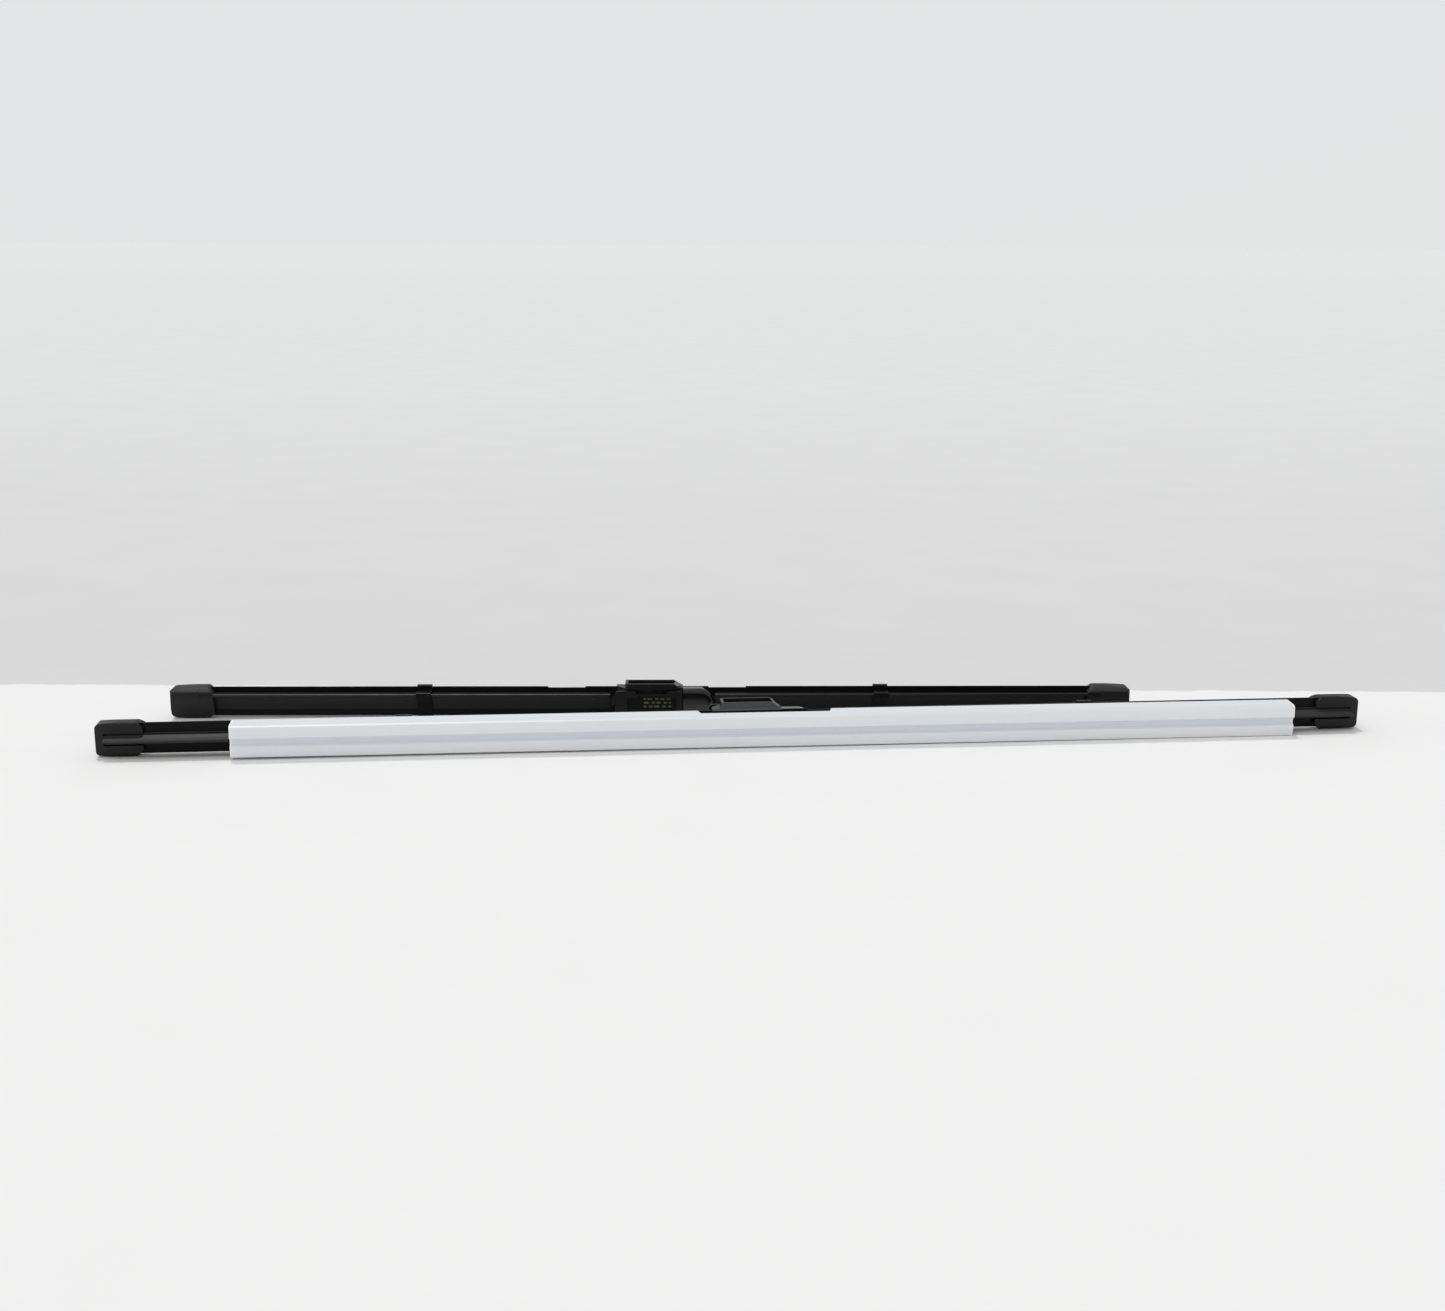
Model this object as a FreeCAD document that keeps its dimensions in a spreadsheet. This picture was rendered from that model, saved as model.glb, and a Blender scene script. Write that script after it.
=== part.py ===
import FreeCAD, Part
import Sketcher
import math
import os

# A pair of flat windshield wiper blades for one car, standing side by side on their long edges.
# The long blade lies along X with its rubber lip towards -Y, and carries a slip-on edge protector.
# The short blade stands behind it, turned a few degrees, with its spoiler towards the long one.
# Each blade is two spring-steel rails, a wiping rubber between them, two spoiler halves, two end
# caps, two clips and a connector with a nose fairing, whose adapter rocks on a hollow bush that
# takes the arm's pin.

SIZES = {
    "long_length": 600,
    "long_connector_x": 1,
    "long_clip_reach": 162,
    "long_place_y": -30.64,
    "short_length": 475,
    "short_connector_x": 0,
    "short_clip_reach": 113,
    "short_place_x": -41.8,
    "short_place_y": 17.96,
    "short_turn": -4.4,
    "rail_span": 14.6,
    "rail_gap": 2.4,
    "rail_thickness": 0.9,
    "rail_end_inset": 5,
    "notch_centre": 39.8,
    "notch_length": 18.5,
    "notch_offset": -3,
    "notch_depth": 0.6,
    "rubber_end_inset": 4,
    "head_width": 4.8,
    "head_height": 0.8,
    "shoulder_width": 5.4,
    "shoulder_height": 1.1,
    "hinge_width": 1.12,
    "hinge_height": 1,
    "wedge_width": 4.2,
    "wedge_step": 0.3,
    "lip_root_width": 1.28,
    "lip_height": 2.2,
    "lip_width": 0.8,
    "lip_reach": 8.2,
    "spoiler_low": 3.9,
    "spoiler_high": 4.6,
    "spoiler_height": 6.6,
    "spoiler_sweep": 11,
    "spoiler_toe": 0.8,
    "crest_run": 0.7,
    "crest_rise": 0.3,
    "crest_drop": 0.1,
    "crest_face": 0.8,
    "spoiler_end_entry": 6,
    "spoiler_gap_left": 21,
    "spoiler_gap_right": 30.6,
    "cap_length": 21.3,
    "cap_width": 16.6,
    "cap_corner": 2.2,
    "cap_taper": 0.8,
    "cap_bevel": 3.2,
    "cap_flare": 5,
    "cap_front": 2.9,
    "cap_edge_radius": 1.8,
    "cap_shoulder": 1.9,
    "cap_shoulder_bow": 9,
    "cap_ridge": 7.4,
    "cap_crest_run": 0.9,
    "cap_crest_drop": 1.9,
    "cap_crest_radius": 1.1,
    "cap_crest_end": 3.3,
    "cap_groove_top": 3.8,
    "cap_hollow_top": 4.8,
    "cap_hollow_run": 1.4,
    "cap_hollow_bow": 26,
    "cap_heel": 3.2,
    "cap_heel_rise": 1.9,
    "cap_heel_radius": 2.2,
    "cap_heel_start": 1.5,
    "cap_roll_start": 0.3,
    "cap_roll_run": 2.6,
    "cap_roll_drop": 3.4,
    "cap_roll_radius": 3.2,
    "cap_play": 0.3,
    "cap_slot_gap": 0.25,
    "clip_width": 7.2,
    "clip_wall": 0.8,
    "clip_bevel": 0.4,
    "clip_hook_gap": 0.7,
    "base_left": 18,
    "base_width": 16.2,
    "base_floor": 1.4,
    "base_front": 1.7,
    "base_chamfer": 0.8,
    "base_slot_gap": 0.3,
    "bridge_top": 2.6,
    "bridge_length": 1.5,
    "cheek_inner": 5.2,
    "cheek_top": 8.8,
    "cheek_crown": 4,
    "cheek_shoulder": 6.8,
    "cheek_shoulder_run": 4,
    "cheek_end": 2.8,
    "cheek_step": 0.3,
    "cheek_step_run": 1,
    "nose_start": 14.8,
    "nose_tip": 30,
    "nose_width": 14.4,
    "nose_height": 6.2,
    "nose_rounding": 2.4,
    "guard_top": 10.7,
    "guard_reach": 9.4,
    "guard_depth": 2.2,
    "guard_slope": 1.4,
    "guard_slope_height": 3,
    "guard_left": 13.6,
    "guard_right": 11.8,
    "guard_toe": 14.4,
    "guard_toe_height": 2,
    "guard_toe_run": 1.5,
    "guard_toe_drop": 2.8,
    "guard_foot": 0.9,
    "guard_sink": 0.4,
    "guard_wall": 1.4,
    "guard_far_wall": 1,
    "guard_corner": 1,
    "pivot_height": 5.2,
    "bush_radius": 3,
    "bush_bore": 2.45,
    "adapter_half_width": 4.9,
    "adapter_low": 5,
    "adapter_top": 9.6,
    "adapter_left": 15.4,
    "adapter_right": 12.4,
    "adapter_chamfer": 0.8,
    "hub_radius": 3.55,
    "flap_left": 18.5,
    "flap_right": 14.4,
    "flap_half_width": 7.4,
    "flap_thickness": 1.2,
    "flap_gap": 0.2,
    "flap_corner_left": 1.6,
    "flap_corner_right": 2.2,
    "nick_left": 8,
    "nick_right": 6.5,
    "nick_depth": 1.6,
    "nick_slant": 1,
    "window_height": 9.6,
    "window_left": 12.8,
    "window_right": 11.4,
    "tab_left": 6.8,
    "tab_right": 5.2,
    "tab_depth": 0.9,
    "tab_slant": 0.8,
    "hook_width": 8.6,
    "hook_thickness": 1.6,
    "hook_barb": 1,
    "hook_inner_end": 7.4,
    "hook_point": 7,
    "hook_outer_end": 7.6,
    "knuckle_x": 17.2,
    "knuckle_height": 8,
    "knuckle_radius": 1.6,
    "knuckle_half_width": 2,
    "web_end": 16,
    "web_depth": 0.6,
    "flap_pin_radius": 0.8,
    "cover_left": 238.5,
    "cover_right": 263.5,
    "cover_wall": 0.7,
    "cover_depth": 13.4,
    "cover_back": 3.4,
    "cover_groove": -0.4,
    "cover_groove_depth": 1.7,
    "cover_groove_mouth": 2.2,
    "cover_groove_bed": 1,
    "cover_crown": 1.6,
    "cover_crown_drop": 0.5,
    "cover_shoulder": 0.2,
    "cover_shoulder_drop": 1.6,
    "cover_sway": 0.3,
    "cover_lean": 1,
    "cover_heel": 0.9,
    "cover_heel_run": 0.4,
    "cover_sole": 0.45,
    "cover_turn": 0.35,
    "cover_tilt": 0.12,
    "cover_cut_left": 23,
    "cover_cut_right": 38,
    "cover_cut_depth": 4,
    "cover_cut_slant": 1.5,
    "fit": 0.05,
    "slack": 0.1,
    "hair": 0.02,
    "overlap": 0.2,
    "beyond": 1,
}


class Size:
    """A length that remembers the spreadsheet expression it comes from."""

    def __init__(self, value, text=None):
        self.value = float(value)
        self.text = text if text else repr(float(value))

    def joined(self, other, sign, value):
        return Size(value, "(" + self.text + " " + sign + " " + other.text + ")")

    def __add__(self, other):
        other = as_size(other)
        return self.joined(other, "+", self.value + other.value)

    def __sub__(self, other):
        other = as_size(other)
        return self.joined(other, "-", self.value - other.value)

    def __mul__(self, other):
        other = as_size(other)
        return self.joined(other, "*", self.value * other.value)

    def __truediv__(self, other):
        other = as_size(other)
        return self.joined(other, "/", self.value / other.value)

    def __neg__(self):
        return self * -1

    def __radd__(self, other):
        return as_size(other) + self

    def __rsub__(self, other):
        return as_size(other) - self

    def __rmul__(self, other):
        return as_size(other) * self


def as_size(number):
    return number if isinstance(number, Size) else Size(number)


doc = FreeCAD.newDocument("wiper_pair")
sheet = doc.addObject("Spreadsheet::Sheet", "Sizes")
size = {}
for row, (name, number) in enumerate(SIZES.items(), start=1):
    sheet.set("A" + str(row), name)
    sheet.set("B" + str(row), str(number))
    sheet.setAlias("B" + str(row), name)
    size[name] = Size(number, "Sizes." + name)
doc.recompute()

NODES = []
PLANES = {"x": "YZ_Plane", "y": "XZ_Plane", "z": "XY_Plane"}
TINY = 1e-3


# ---------------------------------------------------------------- drawing helpers

def new_body(label):
    body = doc.addObject("PartDesign::Body", label)
    body.Label = label
    NODES.append(body)
    return body


def arc_edge(start, end, radius):
    """Arc from start to end; a positive radius has its centre on the left of the way."""
    chord = end - start
    half = chord.Length / 2
    rise = math.sqrt(max(radius * radius - half * half, 0))
    left = FreeCAD.Vector(-chord.y, chord.x, 0).normalize()
    centre = (start + end) / 2 + left * math.copysign(rise, radius)
    first, last = (start, end) if radius > 0 else (end, start)
    angles = [math.atan2(p.y - centre.y, p.x - centre.x) for p in (first, last)]
    circle = Part.Circle(centre, FreeCAD.Vector(0, 0, 1), abs(radius))
    return Part.ArcOfCircle(circle, angles[0], angles[1])


def bind(sketch, number, kind, *where):
    """Dimension in a sketch whose value comes from the sheet."""
    number = as_size(number)
    place = sketch.addConstraint(Sketcher.Constraint(kind, *where, number.value))
    sketch.setExpression("Constraints[" + str(place) + "]", number.text)


def lock_point(sketch, edge, end, corner):
    bind(sketch, corner[0], "DistanceX", edge, end)
    bind(sketch, corner[1], "DistanceY", edge, end)


def draw_circle(sketch, x, y, radius):
    centre = FreeCAD.Vector(as_size(x).value, as_size(y).value, 0)
    circle = Part.Circle(centre, FreeCAD.Vector(0, 0, 1), as_size(radius).value)
    sketch.addGeometry(circle)
    lock_point(sketch, 0, 3, (x, y))
    bind(sketch, radius, "Radius", 0)


def draw(body, axis, at, corners):
    """Closed sketch square to one axis, at a distance along it.

    A corner is (across, up) or (across, up, radius), and its radius bends the edge that follows.
    """
    sketch = body.newObject("Sketcher::SketchObject", body.Label + "_sketch")
    planes = [part for part in body.Origin.OriginFeatures if part.Role == PLANES[axis]]
    sketch.AttachmentSupport = [(planes[0], "")]
    sketch.MapMode = "FlatFace"
    at = as_size(at)
    sketch.setExpression("AttachmentOffset.Base.z", (-at if axis == "y" else at).text)
    if len(corners) == 1:
        draw_circle(sketch, *corners[0])
        return sketch
    spots = [FreeCAD.Vector(as_size(c[0]).value, as_size(c[1]).value, 0) for c in corners]
    count = len(corners)
    starts = []
    for index, corner in enumerate(corners):
        start, end = spots[index], spots[(index + 1) % count]
        if len(corner) == 3:
            radius = as_size(corner[2])
            sketch.addGeometry(arc_edge(start, end, radius.value))
            starts.append(1 if radius.value > 0 else 2)
        else:
            sketch.addGeometry(Part.LineSegment(start, end))
            starts.append(1)
    for index, corner in enumerate(corners):
        before = (index - 1) % count
        end_of_before = 3 - starts[before]
        sketch.addConstraint(Sketcher.Constraint("Coincident", before, end_of_before, index, starts[index]))
        lock_point(sketch, index, starts[index], corner)
        if len(corner) == 3:
            radius = as_size(corner[2])
            bind(sketch, radius if radius.value > 0 else -radius, "Radius", index)
    return sketch


def extrude(kind, body, axis, low, high, corners):
    """Pad or Pocket of an outline between two distances along an axis."""
    low, high = as_size(low), as_size(high)
    sketch = draw(body, axis, high if axis == "y" else low, corners)
    feature = body.newObject("PartDesign::" + kind, body.Label + "_" + kind.lower())
    feature.Profile = sketch
    feature.setExpression("Length", (high - low).text)
    feature.Reversed = kind == "Pocket"
    return feature


def add(body, axis, low, high, corners):
    return extrude("Pad", body, axis, low, high, corners)


def cut(body, axis, low, high, corners):
    doc.recompute()
    before = body.Shape.Volume
    feature = extrude("Pocket", body, axis, low, high, corners)
    doc.recompute()
    if body.Shape.Volume >= before - TINY:
        raise RuntimeError(body.Label + ": a pocket cut nothing")
    return feature


def box_corners(left, right, low, high):
    return [(left, low), (right, low), (right, high), (left, high)]


def disc(x, y, radius):
    """Round outline, which draw knows by its single entry."""
    return [(x, y, radius)]


def half_disc(x, y, radius, way):
    """Two quarter arcs round a centre, on its left (-1) or its right (1), as corners of an outline."""
    return [(x, y - radius * way, radius), (x + radius * way, y, radius), (x, y + radius * way)]


# ---------------------------------------------------------------- one blade

class Blade:
    """Shared placing of the pieces of one blade.

    Out is the way from the rails to the spoiler, +Y on the long blade and -Y on the short one.
    Up is measured from the blade's middle line, which lies half a cap's width above the floor.
    """

    def __init__(self, name, out):
        self.name = name
        self.side = out
        self.half = size[name + "_length"] / 2
        self.connector = size[name + "_connector_x"]
        self.clip_reach = size[name + "_clip_reach"]

    def out(self, distance):
        return as_size(distance) * self.side

    def up(self, distance):
        return size["cap_width"] / 2 + distance

    def span(self, low, high):
        """Two distances out, in rising Y."""
        ends = [self.out(low), self.out(high)]
        return ends if self.side > 0 else ends[::-1]

    def section(self, corners):
        """Corners given as (out, up[, radius]) turned into a sketch square to X."""
        turned = []
        for corner in corners:
            bend = (corner[2] * self.side,) if len(corner) == 3 else ()
            turned.append((self.out(corner[0]), self.up(corner[1])) + bend)
        return turned

    def profile(self, corners):
        """Corners given as (x from the connector, out[, radius]) turned into a sketch square to Z."""
        turned = []
        for corner in corners:
            bend = (corner[2] * self.side,) if len(corner) == 3 else ()
            turned.append((self.connector + corner[0], self.out(corner[1])) + bend)
        return turned

    def body(self, piece):
        return new_body(self.name + "_" + piece)


def make_rail(blade, piece, way):
    """Flat spring strip with a shallow notch in its outer edge on each side of the connector."""
    body = blade.body(piece)
    end = blade.half - size["rail_end_inset"]
    inner = blade.up(way * size["rail_gap"] / 2)
    outer = blade.up(way * size["rail_span"] / 2)
    thickness = size["rail_thickness"]
    add(body, "y", -thickness / 2, thickness / 2, box_corners(-end, end, inner, outer))
    floor = blade.up(way * (size["rail_span"] / 2 - size["notch_depth"]))
    past_edge = blade.up(way * (size["rail_span"] / 2 + size["beyond"]))
    reach = size["notch_length"] / 2
    for side in (-1, 1):
        middle = blade.connector + size["notch_offset"] + size["notch_centre"] * side
        corners = box_corners(middle - reach, middle + reach, floor, past_edge)
        cut(body, "y", -thickness, thickness, corners)


def make_rubber(blade):
    """Wiping element: head and shoulder that hold the rails, a thin hinge, a wedge and the lip."""
    body = blade.body("wiping_rubber")
    face = size["rail_thickness"] / 2 + size["fit"]
    head = size["head_width"] / 2
    neck = size["rail_gap"] / 2 - size["slack"]
    shoulder = size["shoulder_width"] / 2
    shoulder_end = -face - size["shoulder_height"]
    hinge = size["hinge_width"] / 2
    hinge_end = shoulder_end - size["hinge_height"]
    lip_end = -size["lip_reach"]
    upper = [
        (face + size["head_height"], head),
        (face, head),
        (face, neck),
        (-face, neck),
        (-face, shoulder),
        (shoulder_end, shoulder),
        (shoulder_end, hinge),
        (hinge_end, hinge),
        (hinge_end - size["wedge_step"], size["wedge_width"] / 2),
        (lip_end + size["lip_height"], size["lip_root_width"] / 2),
        (lip_end, size["lip_width"] / 2),
    ]
    lower = [(out, -up) for out, up in reversed(upper)]
    end = blade.half - size["rubber_end_inset"]
    add(body, "x", -end, end, blade.section(upper + lower))


def spoiler_corners(grow):
    """Spoiler section: a flat foot on the rails, a steep upper face and a hollow swept face.

    Growing it moves every face but the foot outwards, which gives the clips their shape.
    """
    foot = size["rail_thickness"] / 2 + size["fit"]
    top = size["spoiler_height"] + grow
    low = -size["spoiler_low"] - grow
    high = size["spoiler_high"] + grow
    drop = size["crest_drop"]
    hollow_start = size["spoiler_high"] - size["crest_face"] - grow / 2
    return foot, [
        (foot, high - drop),
        (top - size["crest_run"], high + size["crest_rise"]),
        (top, high - drop),
        (top - drop, hollow_start, size["spoiler_sweep"] - grow),
        (foot + size["spoiler_toe"] + grow, low),
        (foot, low),
    ]


def make_spoiler(blade, piece, start, end):
    body = blade.body(piece)
    foot, corners = spoiler_corners(Size(0))
    add(body, "x", start, end, blade.section(corners))
    groove = size["head_width"] / 2 + size["slack"]
    roof = foot + size["head_height"] + size["slack"]
    below = foot - size["beyond"]
    cut(body, "x", start, end, blade.section([
        (below, -groove),
        (roof, -groove),
        (roof, groove),
        (below, groove),
    ]))


def make_end_cap(blade, piece, way):
    """Moulded cap: ridge carried on from the spoiler, rounded outer corners, slot for the lip."""
    body = blade.body(piece)
    half = size["cap_width"] / 2
    front = -size["cap_front"]
    ridge = size["cap_ridge"]
    outer = way * blade.half
    inner = way * (blade.half - size["cap_length"])
    low, high = (inner, outer) if way > 0 else (outer, inner)
    edge_radius = size["cap_edge_radius"]
    hollow = ridge - size["cap_hollow_run"]
    add(body, "x", low, high, blade.section([
        (front, -half + edge_radius),
        (front, half - edge_radius, -edge_radius),
        (front + edge_radius, half),
        (size["cap_shoulder"], half, -size["cap_shoulder_bow"]),
        (ridge - size["cap_crest_run"], half - size["cap_crest_drop"], -size["cap_crest_radius"]),
        (ridge - size["cap_crest_run"] / 2, half - size["cap_crest_end"]),
        (hollow + size["slack"], half - size["cap_groove_top"]),
        (hollow, half - size["cap_hollow_top"], -size["cap_hollow_bow"]),
        (size["cap_heel"], size["cap_heel_rise"] - half, -size["cap_heel_radius"]),
        (size["cap_heel_start"], -half),
        (front + edge_radius, -half, -edge_radius),
    ]))
    for edge in (-1, 1):
        trim_cap_edge(blade, body, inner, outer, way, edge)
    roll_cap_end(blade, body, inner, outer, way)
    for depth, corners in cap_holes():
        mouth = inner - way * size["beyond"]
        bottom = inner + way * depth
        near, far = (mouth, bottom) if way > 0 else (bottom, mouth)
        cut(body, "x", near, far, blade.section(corners))


def trim_cap_edge(blade, body, inner, outer, way, edge):
    """Narrows the cap towards its outer end, rounds that corner and bevels the inner one."""
    half = size["cap_width"] / 2
    corner = size["cap_corner"]
    bevel = size["cap_bevel"]
    narrow = half - size["cap_taper"]
    rim = blade.up(edge * half)
    clear = rim + edge * 3 * size["beyond"]
    depth = size["cap_length"] / 2
    cut(body, "y", *blade.span(-depth, depth), [
        (outer, clear),
        (outer, blade.up(edge * (narrow - corner)), edge * way * corner),
        (outer - way * corner, blade.up(edge * narrow)),
        (inner + way * (bevel + size["cap_flare"]), rim),
        (inner + way * bevel, rim),
        (inner, blade.up(edge * (half - bevel))),
        (inner - way * size["beyond"], clear),
    ])


def roll_cap_end(blade, body, inner, outer, way):
    """Keeps the ridge's height along the cap until it rolls over the outer end."""
    ridge = size["cap_ridge"]
    low = ridge - size["cap_roll_drop"]
    beyond = size["beyond"]
    clear = 3 * beyond
    roll = way * blade.side * size["cap_roll_radius"]
    cut(body, "z", -beyond, size["cap_width"] + beyond, [
        (inner - way * beyond, blade.out(ridge + size["fit"])),
        (outer - way * size["cap_roll_run"], blade.out(ridge - size["cap_roll_start"]), -roll),
        (outer + way * size["hair"], blade.out(low)),
        (outer + way * clear, blade.out(low)),
        (outer + way * clear, blade.out(ridge + clear)),
        (inner - way * beyond, blade.out(ridge + clear)),
    ])


def cap_holes():
    """Depth from the cap's inner face and section of its holes for rails, rubber and spoiler."""
    slack = size["slack"]
    play = size["cap_play"]
    length = size["cap_length"]
    foot = size["rail_thickness"] / 2 + slack
    rails = size["rail_span"] / 2 + slack
    rubber = size["shoulder_width"] / 2 + size["cap_slot_gap"]
    slot_start = -size["cap_front"] - size["beyond"]
    slot_end = foot + size["head_height"] + slack
    return [
        (length - size["rail_end_inset"] + play, [
            (-foot, -rails), (foot, -rails), (foot, rails), (-foot, rails)]),
        (length - size["rubber_end_inset"] + play, [
            (slot_start, -rubber), (slot_end, -rubber), (slot_end, rubber), (slot_start, rubber)]),
        (size["spoiler_end_entry"] + play, spoiler_corners(slack)[1]),
    ]


def make_clip(blade, piece, way):
    """Sprung band round the spoiler, with a hook round the edge of each rail."""
    body = blade.body(piece)
    hair = size["hair"]
    rail_face = size["rail_thickness"] / 2
    rail_edge = size["rail_span"] / 2
    hook_end = size["shoulder_width"] / 2 + size["clip_hook_gap"]

    def path(gap, bevel):
        """One face of the band, at a gap from the pieces inside it."""
        spoiler = spoiler_corners(gap + hair)[1]
        upper = [
            (-rail_face - gap, hook_end),
            (-rail_face - gap, rail_edge + gap - bevel),
            (-rail_face - gap + bevel, rail_edge + gap),
            (rail_face + gap - bevel, rail_edge + gap),
            (rail_face + gap, rail_edge + gap - bevel),
        ]
        lower = [(out, -up) for out, up in reversed(upper)]
        first = (rail_face + gap, spoiler[0][1])
        last = (rail_face + gap, spoiler[-1][1])
        return upper + [first] + spoiler[1:-1] + [last] + lower

    ring = path(size["slack"] + size["clip_wall"], size["clip_bevel"])
    inner = path(size["slack"], hair)
    for index in range(len(inner) - 1, -1, -1):
        before = inner[index - 1]
        bend = (-before[2],) if index > 0 and len(before) == 3 else ()
        ring.append(inner[index][:2] + bend)
    middle = blade.connector + way * blade.clip_reach
    half = size["clip_width"] / 2
    add(body, "x", middle - half, middle + half, blade.section(ring))


def make_base(blade):
    """Connector base: a saddle hooked round both rails, two cheeks and the pin's guard."""
    body = blade.body("connector_base")
    x = blade.connector
    left = size["base_left"]
    right = size["nose_start"]
    half_width = size["base_width"] / 2
    front = -size["base_front"]
    floor = size["base_floor"]
    chamfer = size["base_chamfer"]
    add(body, "x", x - left, x + right, blade.section([
        (front, -half_width + chamfer),
        (front, half_width - chamfer),
        (front + chamfer, half_width),
        (floor, half_width),
        (floor, -half_width),
        (front + chamfer, -half_width),
    ]))
    sunk = floor - size["overlap"]
    cheek = blade.profile([
        (-left, sunk),
        (right, sunk),
        (right, size["nose_height"]),
        (right - size["cheek_step_run"], size["nose_height"] + size["cheek_step"]),
        (size["cheek_crown"], size["cheek_top"]),
        (-size["cheek_crown"], size["cheek_top"]),
        (-left + size["cheek_shoulder_run"], size["cheek_shoulder"]),
        (-left, size["cheek_end"]),
    ])
    inner = size["cheek_inner"]
    for low, high in ((-half_width, -inner), (inner, half_width)):
        add(body, "z", blade.up(low), blade.up(high), cheek)
    length = size["bridge_length"]
    side = inner + size["overlap"]
    for low, high in ((-left, length - left), (right - length, right)):
        add(body, "x", x + low, x + high, blade.section([
            (sunk, -side),
            (size["bridge_top"], -side),
            (size["bridge_top"], side),
            (sunk, side),
        ]))
    add_guard(blade, body)
    cut_rail_ways(blade, body)
    hole = size["bush_radius"] + size["fit"]
    beyond = size["beyond"]
    cut(body, "z", -beyond, blade.up(size["guard_top"]) + beyond,
        disc(x, blade.out(size["pivot_height"]), hole))


def cut_rail_ways(blade, body):
    """Slots through the base for both rails, for the rubber's shoulder and for its head."""
    slack = size["slack"]
    beyond = size["beyond"]
    rail_face = size["rail_thickness"] / 2 + slack
    rail_edge = size["rail_span"] / 2 + slack
    slot = size["shoulder_width"] / 2 + size["base_slot_gap"]
    groove = size["head_width"] / 2 + slack
    start = blade.connector - size["base_left"] - beyond
    end = blade.connector + size["nose_start"] + beyond
    for near, far, reach in ((-rail_face, rail_face, rail_edge),
                             (-size["base_front"] - beyond, 0, slot),
                             (0, size["base_floor"] + slack, groove)):
        cut(body, "x", start, end, blade.section([
            (near, -reach), (far, -reach), (far, reach), (near, reach)]))


def add_guard(blade, body):
    """Open box on one side of the base, round the mouth of the bush, with a sloping toe."""
    left = size["guard_left"]
    right = size["guard_right"]
    toe = size["guard_toe"]
    reach = size["guard_reach"]
    top = size["guard_top"]
    corner = size["guard_corner"]
    beyond = size["beyond"]
    low = blade.up(size["base_width"] / 2 - size["guard_sink"])
    high = blade.up(top)
    add(body, "z", low, high, blade.profile([
        (-left, -size["guard_foot"]),
        (toe, -size["guard_foot"]),
        (toe, size["guard_toe_height"]),
        (right, reach),
        (corner - left, reach),
        (-left, reach - corner),
    ]))
    slope = size["guard_slope"]
    slope_end = slope - beyond
    cut(body, "x", blade.connector - left - beyond, blade.connector + toe + beyond, blade.section([
        (-beyond, top - size["guard_slope_height"]),
        (-beyond, top + beyond),
        (slope_end, top + beyond),
        (slope_end, top + size["hair"]),
    ]))
    wall = size["guard_wall"]
    near = slope - size["overlap"]
    far = reach - size["guard_far_wall"]
    cut(body, "z", high - size["guard_depth"], high + beyond, blade.profile([
        (wall - left, near),
        (right - wall / 2, near),
        (right - wall, far),
        (wall - left, far),
    ]))
    toe_start = blade.connector + right - size["guard_toe_run"]
    toe_end = blade.connector + toe + size["slack"]
    cut(body, "y", *blade.span(-2 * beyond, reach + beyond), [
        (toe_start, high + size["hair"]),
        (toe_end, high - size["guard_toe_drop"]),
        (toe_end, high + beyond),
        (toe_start, high + beyond),
    ])


def make_nose(blade):
    """Glossy fairing ahead of the base: round in plan, with a well rounded rim."""
    body = blade.body("nose_fairing")
    x = blade.connector
    start = size["nose_start"] + size["slack"]
    radius = size["nose_width"] / 2
    tip = size["nose_tip"]
    foot = size["rail_thickness"] / 2 + size["slack"]
    height = size["nose_height"]
    add(body, "y", *blade.span(foot, height), [
        (x + start, blade.up(-radius)),
        *half_disc(x + tip - radius, blade.up(0), radius, 1),
        (x + start, blade.up(radius)),
    ])
    doc.recompute()
    crown = blade.out(height).value
    rim = []
    for index, edge in enumerate(body.Shape.Edges, start=1):
        box = edge.BoundBox
        flat_on_crown = abs(box.YMin - crown) < TINY and abs(box.YMax - crown) < TINY
        across_the_joint = box.XLength < TINY
        if flat_on_crown and not across_the_joint:
            rim.append("Edge" + str(index))
    hull = body.Tip
    rounding = body.newObject("PartDesign::Fillet", body.Label + "_rounding")
    rounding.Base = (hull, rim)
    rounding.setExpression("Radius", size["nose_rounding"].text)
    groove = size["head_width"] / 2 + size["slack"]
    roof = size["base_floor"] + size["slack"]
    beyond = size["beyond"]
    cut(body, "x", x + start - beyond, x + tip + beyond, blade.section([
        (0, -groove), (roof, -groove), (roof, groove), (0, groove)]))


def make_bush(blade):
    """Hollow steel bush through both cheeks; the wiper arm's side pin runs in its bore."""
    body = blade.body("pivot_bush")
    y = blade.out(size["pivot_height"])
    low = blade.up(-size["base_width"] / 2)
    high = blade.up(size["guard_top"] - size["guard_depth"])
    add(body, "z", low, high, disc(blade.connector, y, size["bush_radius"]))
    beyond = size["beyond"]
    cut(body, "z", low - beyond, high + beyond, disc(blade.connector, y, size["bush_bore"]))


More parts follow.
